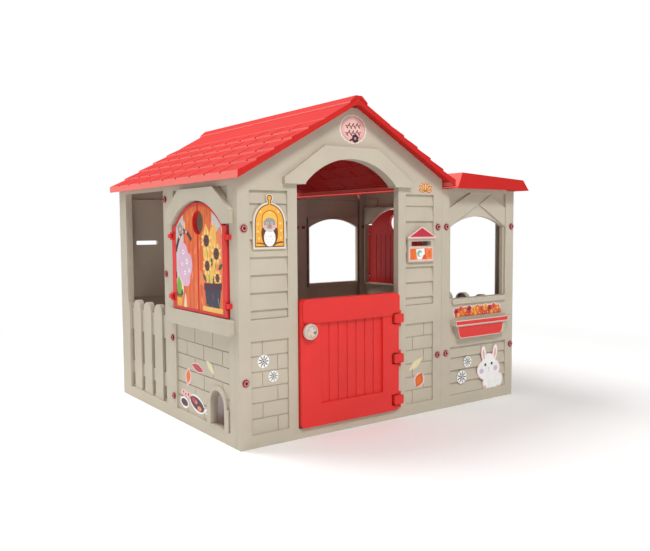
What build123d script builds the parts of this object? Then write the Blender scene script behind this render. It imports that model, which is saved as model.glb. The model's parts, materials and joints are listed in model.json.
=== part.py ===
from build123d import *
from math import sqrt
import os

os.makedirs("parts", exist_ok=True)

# A modular plastic playhouse: a gabled house with a lower annex on its right. Every wall is a moulded
# panel with a thin skin and a deeper rim, hollow on the inside. Opposite walls come from the same
# moulds, turned half a turn about the vertical. Sizes are in millimetres, +Z is up, and the origin is
# on the ground under the middle of the roofs' bounding rectangle.

# ---- driving dimensions ----
HOUSE_W = 805
ANNEX_W = 377
DEPTH = 931
WALL_T = 24
SKIN = 4
RIM = 5
FIT = 0.15

EAVE_OVERHANG = 21
GABLE_OVERHANG = 44
ANNEX_OVERHANG = 25
ANNEX_GABLE_OVERHANG = 50
EAVE_Z = 780
FASCIA_H = 18
ROOF_SLOPE = 0.565
ROOF_SKIN = 5.7
SIDE_TOP = 803

# ---- where the walls stand ----
X_LEFT = -(HOUSE_W + ANNEX_W + ANNEX_OVERHANG - EAVE_OVERHANG) / 2
X_SEAM = X_LEFT + HOUSE_W
X_RIGHT = X_SEAM + ANNEX_W
X_RIDGE = X_LEFT + HOUSE_W / 2
Y_FRONT = -DEPTH / 2
Y_REAR = DEPTH / 2
ANNEX_INSET = 22
Y_ANNEX_REAR = Y_REAR - ANNEX_INSET

# Each wall has its own frame: x runs to the right seen from outside, y up, and z out of the wall.
FRONT = Plane(origin=(X_LEFT, Y_FRONT, 0), x_dir=(1, 0, 0), z_dir=(0, -1, 0))
REAR = Plane(origin=(X_SEAM, Y_REAR, 0), x_dir=(-1, 0, 0), z_dir=(0, 1, 0))
LEFT = Plane(origin=(X_LEFT, Y_REAR, 0), x_dir=(0, -1, 0), z_dir=(-1, 0, 0))
RIGHT = Plane(origin=(X_RIGHT, Y_FRONT, 0), x_dir=(0, 1, 0), z_dir=(1, 0, 0))
RIGHT_REAR = Plane(origin=(X_RIGHT, Y_FRONT - ANNEX_INSET, 0), x_dir=(0, 1, 0), z_dir=(1, 0, 0))
ANNEX_FRONT = Plane(origin=(X_SEAM, Y_FRONT, 0), x_dir=(1, 0, 0), z_dir=(0, -1, 0))
ANNEX_REAR = Plane(origin=(X_RIGHT, Y_ANNEX_REAR, 0), x_dir=(-1, 0, 0), z_dir=(0, 1, 0))

RIDGE_Z = EAVE_Z + FASCIA_H + ROOF_SLOPE * (HOUSE_W / 2 + EAVE_OVERHANG)
WALL_FIT = 0.5
SHOULDER_Z = EAVE_Z + FASCIA_H + ROOF_SLOPE * EAVE_OVERHANG - ROOF_SKIN - WALL_FIT
GABLE_CUT_Z = RIDGE_Z - FASCIA_H - 5

# ---- relief ----
SINK = 9
POCKET = WALL_T - SINK - SKIN
HOOD_PROUD = 14.5
BOARD_PITCH = 51.4
COURSE = 49
BRICK_SINK = 6
GROOVE = 3.2
GROOVE_DEPTH = 2.2

# ---- bolts ----
BOLT_Z = (196, 641)
GABLE_BOLT_U = (20, HOUSE_W - 20)
ANNEX_BOLT_U = (21, 364)
BOLT_R = 4.5
BOLT_HOLE_R = 4.8
BOLT_HEAD = (10.5, 5)
NUT = (8, 5)
BOSS_R = 9
FLANGE = (38, 6)

# ---- door ----
DOOR_GAP = (202, 604)
THRESHOLD_Z = 31
DOOR_U = (204.5, 596)
DOOR_Z = (33, 426)
DOOR_W = (-10, 12)
DOOR_AXIS = (600, 12)
DOOR_CLIP_Z = (68, 207, 341)
DOOR_CLIP = (28, 30)
PIN_R = 4
PIN_HOLE_R = 4.4
KNOB = (232, 329)
SPINDLE_R = 5.5
SPINDLE_HOLE_R = 5.9

# ---- side panels ----
PANEL_SPLIT = 416
LAP = (24, 8)
WINDOW_C = 685.5
WINDOW_HALF = (196, 172.5)
WINDOW_Z = (378, 655, 657, 727)
SIDE_FIELD = (498, 872)
PET_DOOR = (792.5, 45.5, 42, 108, 153)
LAP_BOLTS = ((434, 488), (434, 739))
TAB_BOLTS = ((478, 78), (476, 276))
TAB = (492, 18, 16, 4.3)
SHUTTER_W = (-7, 5)
SHUTTER_HALF = (190, 164)
SHUTTER_AXIS = (190, 8.6)
SHUTTER_PIN_R = 3
SHUTTER_CLIP_Z = (417, 616)
SHUTTER_CLIP_H = 14
HANDLE = (659, 37)


def rect(u0, u1, v0, v1, mode=Mode.ADD):
    """Rectangle in the active sketch, from its edges."""
    with Locations(((u0 + u1) / 2, (v0 + v1) / 2)):
        Rectangle(u1 - u0, v1 - v0, mode=mode)


def slab(wall, w0, w1, u0, u1, v0, v1, mode=Mode.ADD):
    """Box on a wall between two depths along its outward normal."""
    with BuildSketch(wall.offset(w0)) as face:
        rect(u0, u1, v0, v1)
    extrude(face.sketch, amount=w1 - w0, mode=mode)


def plate(wall, w0, w1, points, mode=Mode.ADD):
    """Straight-edged plate on a wall between two depths."""
    with BuildSketch(wall.offset(w0)) as face:
        Polygon(*points, align=None)
    extrude(face.sketch, amount=w1 - w0, mode=mode)


def soft_slab(wall, w0, w1, u0, u1, v0, v1, radius, mode=Mode.ADD):
    """Box with rounded corners in the wall's plane."""
    with BuildSketch(wall.offset(w0)) as face:
        with Locations(((u0 + u1) / 2, (v0 + v1) / 2)):
            RectangleRounded(u1 - u0, v1 - v0, radius)
    extrude(face.sketch, amount=w1 - w0, mode=mode)


def disc(wall, w0, w1, points, radius, mode=Mode.ADD):
    """Round pegs or holes square to a wall."""
    with BuildSketch(wall.offset(w0)) as face:
        with Locations(*points):
            Circle(radius)
    extrude(face.sketch, amount=w1 - w0, mode=mode)


def arch(centre, half, v0, spring, crown, mode=Mode.ADD):
    """Straight-sided face that ends in a segmental arch, in the active sketch."""
    with BuildLine() as edge:
        Polyline(
            (centre - half, spring),
            (centre - half, v0),
            (centre + half, v0),
            (centre + half, spring),
        )
        ThreePointArc((centre + half, spring), (centre, crown), (centre - half, spring))
    make_face(edge.edges(), mode=mode)


def arch_slab(wall, w0, w1, centre, half, v0, spring, crown, mode=Mode.ADD):
    """Arched solid on a wall between two depths."""
    with BuildSketch(wall.offset(w0)) as face:
        arch(centre, half, v0, spring, crown)
    extrude(face.sketch, amount=w1 - w0, mode=mode)


def upright(wall, u, w, v0, v1, radius, mode=Mode.ADD):
    """Vertical round bar or bore beside a wall, from height v0 to v1."""
    foot = wall.from_local_coords((u, v0, w))
    with BuildSketch(Plane(origin=foot, x_dir=(1, 0, 0), z_dir=(0, 0, 1))) as face:
        Circle(radius)
    extrude(face.sketch, amount=v1 - v0, mode=mode)


def pocket(wall, region, fields, keep_out=()):
    """Hollow a panel from behind, deeper where its face isn't sunk."""
    for depth, blocks in ((POCKET, []), (WALL_T - SKIN, fields)):
        with BuildSketch(wall.offset(-WALL_T)) as face:
            rect(*region)
            for u0, u1, v0, v1 in blocks:
                rect(u0 - SKIN, u1 + SKIN, v0 - SKIN, v1 + SKIN, Mode.SUBTRACT)
            for u0, u1, v0, v1 in keep_out:
                rect(u0, u1, v0, v1, Mode.SUBTRACT)
        extrude(face.sketch, amount=depth, mode=Mode.SUBTRACT)


def bosses(wall, points):
    """Bolt bosses on the hollow side, with their through holes."""
    disc(wall, -WALL_T, -1, points, BOSS_R)
    disc(wall, -WALL_T - 1, 2, points, BOLT_HOLE_R, Mode.SUBTRACT)


def siding(wall, u0, u1, v0, v1, first_edge, pitch):
    """Lapped boards in a sunk field, thin at the top and thick along the lower edge."""
    slab(wall, -SINK, 1, u0, u1, v0, v1, Mode.SUBTRACT)
    heights = [v0]
    while first_edge + (len(heights) - 1) * pitch < v1 - GROOVE:
        heights.append(first_edge + (len(heights) - 1) * pitch)
    heights.append(v1)
    corner = wall.from_local_coords((u0, 0, 0))
    with BuildSketch(Plane(origin=corner, x_dir=wall.z_dir, z_dir=-wall.x_dir)) as face:
        for low, high in zip(heights[:-1], heights[1:]):
            nose = -SINK + (SINK - 1) * (high - low) / pitch
            Polygon(
                (-SINK - 1, low),
                (nose - 1.5, low),
                (nose, low + 1.5),
                (-SINK + 0.5, high),
                (-SINK - 1, high),
                align=None,
            )
    extrude(face.sketch, amount=-(u1 - u0))


def brickwork(wall, u0, u1, v0, v1, odd_joints, even_joints):
    """Sunk field scored into courses of bricks, counted from the top."""
    slab(wall, -BRICK_SINK, 1, u0, u1, v0, v1, Mode.SUBTRACT)
    courses = round((v1 - v0) / COURSE)
    height = (v1 - v0) / courses
    with BuildSketch(wall.offset(-BRICK_SINK)) as face:
        for row in range(courses):
            top = v1 - row * height
            if row:
                rect(u0, u1, top - GROOVE / 2, top + GROOVE / 2)
            for joint in even_joints if row % 2 else odd_joints:
                rect(joint - GROOVE / 2, joint + GROOVE / 2, top - height, top)
    extrude(face.sketch, amount=-GROOVE_DEPTH, mode=Mode.SUBTRACT)


def hood(wall, centre, halves, heights):
    """Raised canopy trim with sloping shoulders over an arch."""
    wide, narrow = halves
    foot, shoulder, crest = heights
    side = [(-wide, foot), (-wide, shoulder), (-narrow, crest)]
    outline = side + [(-u, v) for u, v in reversed(side)]
    plate(wall, -1, HOOD_PROUD, [(centre + u, v) for u, v in outline])


def across(wall, u0, u1, points, radius, mode=Mode.ADD):
    """Round holes or bars that run along a wall, at (w, v) points."""
    corner = wall.from_local_coords((u0, 0, 0))
    with BuildSketch(Plane(origin=corner, x_dir=wall.z_dir, z_dir=-wall.x_dir)) as face:
        with Locations(*points):
            Circle(radius)
    extrude(face.sketch, amount=-(u1 - u0), mode=mode)


def end_flange(wall, u0, bolt_w):
    """Inward flange at the end of a side panel, drilled for the corner bolts."""
    slab(wall, -FLANGE[0], 0, u0, u0 + FLANGE[1], 0, SIDE_TOP)
    across(wall, u0 - 1, u0 + FLANGE[1] + 1, [(bolt_w, z) for z in BOLT_Z], BOLT_HOLE_R, Mode.SUBTRACT)


# ---- gable walls ----
GABLE_C = HOUSE_W / 2
COLUMN = (40, 168)
SIDING_Z = (377, 750)
BRICK_Z = (39, 314)
FIRST_BOARD = 403
BRICK_JOINTS = (80, 132)
HOOD_Z = (771, 789, 890)
HOOD_HALF = (251.5, 104.5)
DOOR_ARCH = (176.5, 776, 853)
MAILBOX_C = HOUSE_W - sum(COLUMN) / 2
SLOT = (90, 577, 593)
PLAQUE_C = 105
PLAQUE_Z = (579, 667, 716)
PLAQUE_HALF = 56
FINIAL = (8, 21, 11)


def mailbox(wall):
    """Moulded letter box with a pitched lid and an open slot, proud of the boards."""
    soft_slab(wall, -SINK - 1, 7, MAILBOX_C - 59, MAILBOX_C + 59, 523, 606, 5)
    lid = [(-64, 600), (-64, 608), (0, 643), (64, 608), (64, 600)]
    plate(wall, -SINK - 1, 11, [(MAILBOX_C + u, v) for u, v in lid])
    half = SLOT[0] / 2
    soft_slab(wall, -WALL_T - 1, 20, MAILBOX_C - half, MAILBOX_C + half, *SLOT[1:], 4, Mode.SUBTRACT)


def plaque(wall):
    """Raised round-topped pad with a ball finial, for the bird cage picture."""
    foot, spring, crown = PLAQUE_Z
    with BuildSketch(wall.offset(-SINK - 1)) as face:
        arch(PLAQUE_C, PLAQUE_HALF, foot, spring, crown)
        rect(PLAQUE_C - FINIAL[0], PLAQUE_C + FINIAL[0], crown - 6, crown + FINIAL[1] - 6)
        with Locations((PLAQUE_C, crown + FINIAL[1] - FINIAL[2])):
            Circle(FINIAL[2])
    extrude(face.sketch, amount=SINK + 2.5)


def blank_doorway(wall):
    """Boarded panel in place of the doorway, hollow behind."""
    half, spring, crown = DOOR_ARCH
    left, right = DOOR_GAP
    for w0, w1, rim in ((-SINK, HOOD_PROUD + 1, 0), (-WALL_T - 1, -SINK - SKIN, RIM)):
        slab(wall, w0, w1, left + rim, right - rim, THRESHOLD_Z + rim, HOOD_Z[0] - rim, Mode.SUBTRACT)
        arch_slab(wall, w0, w1, GABLE_C, half - rim, HOOD_Z[0] - rim - 1, spring, crown - rim, Mode.SUBTRACT)
    siding(wall, left + RIM, right - RIM, THRESHOLD_Z + RIM, HOOD_Z[0] - RIM, THRESHOLD_Z + BOARD_PITCH, BOARD_PITCH)


def gable_wall(wall, closed=False):
    """House end wall: doorway, arched hood, boarded and bricked columns."""
    fields = [(COLUMN[0], COLUMN[1], *z) for z in (SIDING_Z, BRICK_Z)]
    fields += [(HOUSE_W - u1, HOUSE_W - u0, v0, v1) for u0, u1, v0, v1 in fields]
    apex_half = (RIDGE_Z - ROOF_SKIN - WALL_FIT - GABLE_CUT_Z) / ROOF_SLOPE
    outline = [
        (FIT, 0),
        (HOUSE_W - FIT, 0),
        (HOUSE_W - FIT, SHOULDER_Z),
        (GABLE_C + apex_half, GABLE_CUT_Z),
        (GABLE_C - apex_half, GABLE_CUT_Z),
        (FIT, SHOULDER_Z),
    ]
    plate(wall, -WALL_T, 0, outline)
    hood(wall, GABLE_C, HOOD_HALF, HOOD_Z)
    half, spring, crown = DOOR_ARCH
    for u0, u1 in ((RIM, DOOR_GAP[0] - RIM), (DOOR_GAP[1] + RIM, HOUSE_W - RIM)):
        pocket(wall, (u0, u1, RIM, SHOULDER_Z - 2 * RIM), fields)
    with BuildSketch(wall.offset(-WALL_T)) as face:
        Polygon(
            (GABLE_C - half, EAVE_Z),
            (4 * RIM, SHOULDER_Z - RIM),
            (GABLE_C - apex_half, GABLE_CUT_Z - 2 * RIM),
            (GABLE_C + apex_half, GABLE_CUT_Z - 2 * RIM),
            (HOUSE_W - 4 * RIM, SHOULDER_Z - RIM),
            (GABLE_C + half, EAVE_Z),
            align=None,
        )
        arch(GABLE_C, half + RIM, HOOD_Z[0], spring, crown + RIM, Mode.SUBTRACT)
    extrude(face.sketch, amount=WALL_T - SKIN, mode=Mode.SUBTRACT)
    mirrored = [(HOUSE_W - u) for u in BRICK_JOINTS]
    siding(wall, *COLUMN, *SIDING_Z, FIRST_BOARD, BOARD_PITCH)
    siding(wall, HOUSE_W - COLUMN[1], HOUSE_W - COLUMN[0], *SIDING_Z, FIRST_BOARD, BOARD_PITCH)
    brickwork(wall, *COLUMN, *BRICK_Z, BRICK_JOINTS[:1], BRICK_JOINTS[1:])
    brickwork(wall, HOUSE_W - COLUMN[1], HOUSE_W - COLUMN[0], *BRICK_Z, mirrored[:1], mirrored[1:])
    plaque(wall)
    mailbox(wall)
    if closed:
        blank_doorway(wall)
    else:
        through = (-WALL_T - 1, HOOD_PROUD + 1)
        slab(wall, *through, *DOOR_GAP, THRESHOLD_Z, HOOD_Z[0], Mode.SUBTRACT)
        arch_slab(wall, *through, GABLE_C, half, HOOD_Z[0] - 1, spring, crown, Mode.SUBTRACT)
    bosses(wall, [(u, v) for u in GABLE_BOLT_U for v in BOLT_Z])


with BuildPart() as front_wall:
    gable_wall(FRONT)
front_wall.part.label = "front_wall"
export_step(front_wall.part, "parts/front_wall.step")

with BuildPart() as rear_wall:
    gable_wall(REAR, closed=True)
rear_wall.part.label = "rear_wall"
export_step(rear_wall.part, "parts/rear_wall.step")


# ---- window side panels ----
SILL_BAR = (225.5, 330, 377)
SIDE_HOOD_HALF = (220.5, 119.5)
SIDE_HOOD_Z = (655, 696, 765)
SIDE_BRICK_Z = (39, 325)
SIDE_JOINTS = ((631, 756), (572, 693, 818))
CORNER_SINK = (187, 720, 126)
PET_TRIM = (69, 104, 58, 164)
PET_TRIM_PROUD = 2


def window_wall(wall, end, bolt_w):
    """Side panel with a shuttered arched window, brickwork and a little animal door."""
    sill, head, spring, crown = WINDOW_Z
    wide, half = WINDOW_HALF
    edge, low, inner = CORNER_SINK
    corners = [(WINDOW_C - edge, WINDOW_C - inner, low, SIDE_HOOD_Z[2])]
    corners.append((WINDOW_C + inner, WINDOW_C + edge, low, SIDE_HOOD_Z[2]))
    slab(wall, -WALL_T, 0, PANEL_SPLIT + FIT, end, 0, SIDE_TOP)
    soft_slab(wall, -1, HOOD_PROUD, WINDOW_C - SILL_BAR[0], end - 1, *SILL_BAR[1:], 7)
    hood(wall, WINDOW_C, SIDE_HOOD_HALF, SIDE_HOOD_Z)
    window = (WINDOW_C - wide - RIM, WINDOW_C + wide + RIM, sill - RIM, crown + RIM)
    pet, pet_half, pet_sill, pet_spring, pet_crown = PET_DOOR
    pet_box = (pet - pet_half - RIM, pet + pet_half + RIM, 0, pet_crown + RIM)
    fields = [(*SIDE_FIELD, *SIDE_BRICK_Z)] + corners
    region = (PANEL_SPLIT - 1, end - FLANGE[1], RIM, SIDE_TOP - RIM)
    pocket(wall, region, fields, [window, pet_box])
    for side in (-1, 1):
        points = [(edge, SIDE_HOOD_Z[2]), (edge, low + 3), (inner, SIDE_HOOD_Z[2])]
        plate(wall, -SINK, HOOD_PROUD, [(WINDOW_C + side * u, v) for u, v in points], Mode.SUBTRACT)
    brickwork(wall, *SIDE_FIELD, *SIDE_BRICK_Z, *SIDE_JOINTS)
    arch_slab(wall, -SINK, PET_TRIM_PROUD, pet, PET_TRIM[0], SIDE_BRICK_Z[0], PET_TRIM[1], PET_TRIM[1] + 3)
    arch_slab(wall, -SINK, PET_TRIM_PROUD, pet, PET_TRIM[2], SIDE_BRICK_Z[0], PET_TRIM[1], PET_TRIM[3])
    through = (-WALL_T - 1, HOOD_PROUD + 1)
    arch_slab(wall, *through, pet, pet_half, pet_sill, pet_spring, pet_crown, Mode.SUBTRACT)
    slab(wall, *through, WINDOW_C - wide, WINDOW_C + wide, sill, head, Mode.SUBTRACT)
    arch_slab(wall, *through, WINDOW_C, half, head - 1, spring, crown, Mode.SUBTRACT)
    slab(wall, -WALL_T - 1, -LAP[1], PANEL_SPLIT - 1, PANEL_SPLIT + LAP[0] + FIT, -1, SIDE_TOP + 1, Mode.SUBTRACT)
    disc(wall, *through, LAP_BOLTS + TAB_BOLTS, BOLT_HOLE_R, Mode.SUBTRACT)
    end_flange(wall, end - FLANGE[1], bolt_w)


SIDE_END = DEPTH - WALL_T - FIT

with BuildPart() as left_window_wall:
    window_wall(LEFT, SIDE_END, -GABLE_BOLT_U[0])
left_window_wall.part.label = "left_window_wall"
export_step(left_window_wall.part, "parts/left_window_wall.step")

with BuildPart() as right_window_wall:
    window_wall(RIGHT_REAR, SIDE_END, -ANNEX_BOLT_U[0])
right_window_wall.part.label = "right_window_wall"
export_step(right_window_wall.part, "parts/right_window_wall.step")


# ---- picket side panels ----
POST_U = 67
LINTEL_Z = 771
PICKET_R = 34
PICKET_PITCH = 98
PICKET_C = [45 + n * PICKET_PITCH for n in range(5)]
PICKET_Z = 341
PICKET_SINK = 5
WEB_SINK = 11
SLOT_Z = ((47, 93), (141, 261))
GAP_Z = (39, 346)
PICKET_HOLLOW_R = 29


def fence_wall(wall, bolt_w, overlap):
    """Side panel with a corner post, a lintel and a row of round-topped pickets."""
    start = WALL_T + FIT
    split = PANEL_SPLIT - overlap
    bolts = [(u - overlap, v) for u, v in LAP_BOLTS + TAB_BOLTS]
    with BuildSketch(wall.offset(-WALL_T)) as face:
        rect(start, split, 0, SIDE_TOP)
        rect(POST_U, split + 1, PICKET_Z, LINTEL_Z, Mode.SUBTRACT)
        with Locations(*[(u, PICKET_Z) for u in PICKET_C]):
            Circle(PICKET_R)
        rect(split, split + PICKET_PITCH, 0, LINTEL_Z, Mode.SUBTRACT)
        rect(0, start, 0, SIDE_TOP, Mode.SUBTRACT)
    extrude(face.sketch, amount=WALL_T)
    slab(wall, -PICKET_SINK, 1, PICKET_C[0] + PICKET_R, split + 1, GAP_Z[0], LINTEL_Z - 1, Mode.SUBTRACT)
    for centre in PICKET_C[1:]:
        gap = (centre - PICKET_PITCH + PICKET_R, min(centre - PICKET_R, split - RIM))
        slab(wall, -WEB_SINK, 1, *gap, *GAP_Z, Mode.SUBTRACT)
        for low, high in SLOT_Z:
            soft_slab(wall, -WALL_T - 1, 1, *gap, low, high, 3, Mode.SUBTRACT)
    with BuildSketch(wall.offset(-WALL_T)) as hollow:
        for centre in PICKET_C[1:-1]:
            rect(centre - PICKET_HOLLOW_R, centre + PICKET_HOLLOW_R, RIM, PICKET_Z)
        with Locations(*[(u, PICKET_Z) for u in PICKET_C[1:-1]]):
            Circle(PICKET_HOLLOW_R)
    extrude(hollow.sketch, amount=WALL_T - PICKET_SINK - SKIN, mode=Mode.SUBTRACT)
    with BuildSketch(wall.offset(-WALL_T)) as frame:
        rect(start + FLANGE[1], POST_U - RIM, RIM, SIDE_TOP - RIM)
        rect(POST_U - RIM, split - RIM, LINTEL_Z + RIM, SIDE_TOP - RIM)
    extrude(frame.sketch, amount=WALL_T - SKIN, mode=Mode.SUBTRACT)
    slab(wall, -WALL_T, -LAP[1] - 2 * FIT, split - RIM, split + LAP[0] - FIT, 0, SIDE_TOP)
    tab_u, tab_half, tab_back, tab_front = TAB
    for _, v in TAB_BOLTS:
        reach = (tab_u - overlap, v - tab_half, v + tab_half)
        slab(wall, -tab_back, -tab_front - LAP[1] + SKIN, split, *reach)
        slab(wall, -tab_back, -tab_front, split + LAP[0] + 2, *reach)
    disc(wall, -WALL_T - 1, 1, bolts, BOLT_HOLE_R, Mode.SUBTRACT)
    end_flange(wall, start, bolt_w)


with BuildPart() as left_fence_wall:
    fence_wall(LEFT, -GABLE_BOLT_U[0], 0)
left_fence_wall.part.label = "left_fence_wall"
export_step(left_fence_wall.part, "parts/left_fence_wall.step")

with BuildPart() as right_fence_wall:
    fence_wall(RIGHT, ANNEX_BOLT_U[1] - ANNEX_W, ANNEX_INSET)
right_fence_wall.part.label = "right_fence_wall"
export_step(right_fence_wall.part, "parts/right_fence_wall.step")


# ---- annex panels ----
ANNEX_C = ANNEX_W / 2
ANNEX_FIELD = (38, 333, 388, 762)
ANNEX_LOWER = (44, 337, 41, 213)
ANNEX_FIRST_BOARD = 84
ANNEX_PITCH = 45
ANNEX_WINDOW = (138, 386, 640, 678)
ANNEX_SILL = (142, 367, 386, 9)
BRACE_SINK = 3
ANNEX_SHOULDER = (36, 772, 70)
BRACE_SEAM = ((186, 722.5), (188.5, 720), (258, 759.5), (255, 761.5))
BRACES = (
    ((38, 637), (38, 706), (148, 762), (258, 762)),
    ((333, 640), (333, 710), (240, 762), (192, 762), (170, 735)),
)


def annex_wall(wall):
    """Annex end panel: arched window between crossed braces, boards below."""
    step, low, top = ANNEX_SHOULDER
    half = [(FIT - ANNEX_C, 0), (FIT - ANNEX_C, low), (step - ANNEX_C, low), (top - ANNEX_C, SIDE_TOP)]
    outline = half + [(-u, v) for u, v in reversed(half)]
    plate(wall, -WALL_T, 0, [(ANNEX_C + u, v) for u, v in outline])
    opening, sill, spring, crown = ANNEX_WINDOW
    window = (ANNEX_C - opening - RIM, ANNEX_C + opening + RIM, sill - RIM, crown + RIM)
    fields = [ANNEX_FIELD, ANNEX_LOWER]
    pocket(wall, (RIM, ANNEX_W - RIM, RIM, low - RIM), fields, [window])
    slab(wall, -SINK, 1, *ANNEX_FIELD, Mode.SUBTRACT)
    for points in BRACES:
        plate(wall, -SINK - 1, -BRACE_SINK, points)
    plate(wall, -BRACE_SINK - 3, -BRACE_SINK + 1, BRACE_SEAM, Mode.SUBTRACT)
    siding(wall, *ANNEX_LOWER, ANNEX_FIRST_BOARD, ANNEX_PITCH)
    bar, bar_low, bar_high, bar_proud = ANNEX_SILL
    soft_slab(wall, -WALL_T, bar_proud, ANNEX_C - bar, ANNEX_C + bar, bar_low, bar_high, 8)
    through = (-WALL_T - 1, bar_proud + 1)
    arch_slab(wall, *through, ANNEX_C, opening, sill, spring, crown, Mode.SUBTRACT)
    bosses(wall, [(u, v) for u in ANNEX_BOLT_U for v in BOLT_Z])


with BuildPart() as annex_front_wall:
    annex_wall(ANNEX_FRONT)
annex_front_wall.part.label = "annex_front_wall"
export_step(annex_front_wall.part, "parts/annex_front_wall.step")

with BuildPart() as annex_rear_wall:
    annex_wall(ANNEX_REAR)
annex_rear_wall.part.label = "annex_rear_wall"
export_step(annex_rear_wall.part, "parts/annex_rear_wall.step")


# ---- joining posts behind the seam between house and annex ----
POST_X = (30, 30)
POST_T = FLANGE[1]
HOUSE_BOLT_X = X_SEAM - GABLE_BOLT_U[0]

with BuildPart() as front_joining_post:
    front_post_bolts = [(HOUSE_W - GABLE_BOLT_U[0], z) for z in BOLT_Z]
    front_post_bolts += [(HOUSE_W + ANNEX_BOLT_U[0], z) for z in BOLT_Z]
    back = -WALL_T - FIT
    slab(FRONT, back - POST_T, back, HOUSE_W - POST_X[0], HOUSE_W + POST_X[1], 0, EAVE_Z - 15)
    disc(FRONT, back - POST_T - 1, back + 1, front_post_bolts, BOLT_HOLE_R, Mode.SUBTRACT)
front_joining_post.part.label = "front_joining_post"
export_step(front_joining_post.part, "parts/front_joining_post.step")

with BuildPart() as rear_joining_post:
    rear_post_bolts = [(GABLE_BOLT_U[0], z) for z in BOLT_Z]
    rear_post_bolts += [(ANNEX_BOLT_U[1] - ANNEX_W, z) for z in BOLT_Z]
    inner = -WALL_T - ANNEX_INSET - FIT
    slab(REAR, inner - POST_T, inner, -POST_X[1], POST_X[0], 0, EAVE_Z - 15)
    slab(REAR, inner, -WALL_T - FIT, 2 * FIT, POST_X[0], 0, EAVE_Z - 15)
    disc(REAR, inner - POST_T - 1, -WALL_T + 1, rear_post_bolts, BOLT_HOLE_R, Mode.SUBTRACT)
rear_joining_post.part.label = "rear_joining_post"
export_step(rear_joining_post.part, "parts/rear_joining_post.step")


# ---- roofs ----
TILE_TOP_X = 296
TILE_ROWS = 5
TILE_LIFT = (-1.5, 4)
TILES_ALONG = 10
TILE_JOINT = 9
TILE_HOLLOW = 2
RIM_T = 4
TONGUE = (3, 3.3, 15)
HALF_SPAN = HOUSE_W / 2 + EAVE_OVERHANG
CAP = (34, 7, 12, 1043)
ROOF_Y = DEPTH / 2 + GABLE_OVERHANG


def across_roof(y):
    """Cross-section plane of the roofs at one depth, seen from the front."""
    return Plane(origin=(0, y, 0), x_dir=(1, 0, 0), z_dir=(0, -1, 0))


def roof_half(side):
    """One roof slope: a ribbed skin with lapped tiles and a rim all round."""

    def at(run, drop):
        return (X_RIDGE + side * run, RIDGE_Z - ROOF_SLOPE * run + drop)

    pitch = TILE_TOP_X / TILE_ROWS
    start = HALF_SPAN - TILE_TOP_X
    outline = [at(TONGUE[1], -FASCIA_H), at(TONGUE[1], 0), at(start, 0)]
    for row in range(TILE_ROWS):
        outline.append(at(start + row * pitch, TILE_LIFT[0]))
        outline.append(at(start + (row + 1) * pitch, TILE_LIFT[1]))
    outline.append(at(HALF_SPAN, -FASCIA_H))
    with BuildSketch(across_roof(-ROOF_Y)) as section:
        Polygon(*outline, align=None)
    extrude(section.sketch, amount=-2 * ROOF_Y)
    inner = (TONGUE[1] + RIM_T, HALF_SPAN - RIM_T)
    hollow = [at(inner[0], -ROOF_SKIN), at(inner[1], -ROOF_SKIN)]
    hollow += [at(inner[1], -2 * FASCIA_H), at(inner[0], -2 * FASCIA_H)]
    with BuildSketch(across_roof(-ROOF_Y + RIM_T)) as under:
        Polygon(*hollow, align=None)
    extrude(under.sketch, amount=2 * (RIM_T - ROOF_Y), mode=Mode.SUBTRACT)

    stretch = sqrt(1 + ROOF_SLOPE**2)
    eave = at(HALF_SPAN, 0)
    slope = Plane(
        origin=(eave[0], 0, eave[1]),
        x_dir=(0, side, 0),
        z_dir=(side * ROOF_SLOPE / stretch, 0, 1 / stretch),
    )
    row_h = pitch * stretch
    tile_w = 2 * ROOF_Y / TILES_ALONG
    with BuildSketch(slope.offset(TILE_LIFT[0] / 2)) as joints:
        for row in range(TILE_ROWS):
            shift = tile_w / 2 if row % 2 else 0
            for n in range(1, TILES_ALONG + row % 2):
                y = -ROOF_Y + n * tile_w - shift
                rect(y - TILE_JOINT / 2, y + TILE_JOINT / 2, row * row_h, (row + 1) * row_h)
    extrude(joints.sketch, amount=2 * TILE_LIFT[1], mode=Mode.SUBTRACT)
    with BuildSketch(slope.offset(-ROOF_SKIN / stretch)) as pads:
        for row in range(TILE_ROWS):
            shift = tile_w / 2 if row % 2 else 0
            for n in range(1, TILES_ALONG):
                y = -ROOF_Y + n * tile_w + tile_w / 2 - shift
                if abs(y) < ROOF_Y - tile_w / 2:
                    low = row * row_h + 3 * RIM_T
                    rect(y - tile_w / 2 + 6, y + tile_w / 2 - 6, low, low + row_h * 0.6)
    extrude(pads.sketch, amount=TILE_HOLLOW, mode=Mode.SUBTRACT)


with BuildPart() as roof_left:
    roof_half(-1)
roof_left.part.label = "roof_left"
export_step(roof_left.part, "parts/roof_left.step")

with BuildPart() as roof_right:
    roof_half(1)
roof_right.part.label = "roof_right"
export_step(roof_right.part, "parts/roof_right.step")

with BuildPart() as roof_ridge_cap:
    reach, lift, flat, crest = CAP
    with BuildSketch(across_roof(-ROOF_Y - 2)) as cap_section:
        seat = RIDGE_Z - ROOF_SLOPE * reach + 0.3
        Polygon(
            (X_RIDGE - reach, seat),
            (X_RIDGE - reach, seat + lift - 2),
            (X_RIDGE - reach + 2, seat + lift),
            (X_RIDGE - flat, crest),
            (X_RIDGE + flat, crest),
            (X_RIDGE + reach - 2, seat + lift),
            (X_RIDGE + reach, seat + lift - 2),
            (X_RIDGE + reach, seat),
            (X_RIDGE + TONGUE[1], RIDGE_Z - ROOF_SLOPE * TONGUE[1] + 0.3),
            (X_RIDGE + TONGUE[0], RIDGE_Z - TONGUE[2]),
            (X_RIDGE - TONGUE[0], RIDGE_Z - TONGUE[2]),
            (X_RIDGE - TONGUE[1], RIDGE_Z - ROOF_SLOPE * TONGUE[1] + 0.3),
            align=None,
        )
    extrude(cap_section.sketch, amount=-2 * (ROOF_Y + 2))
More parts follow.
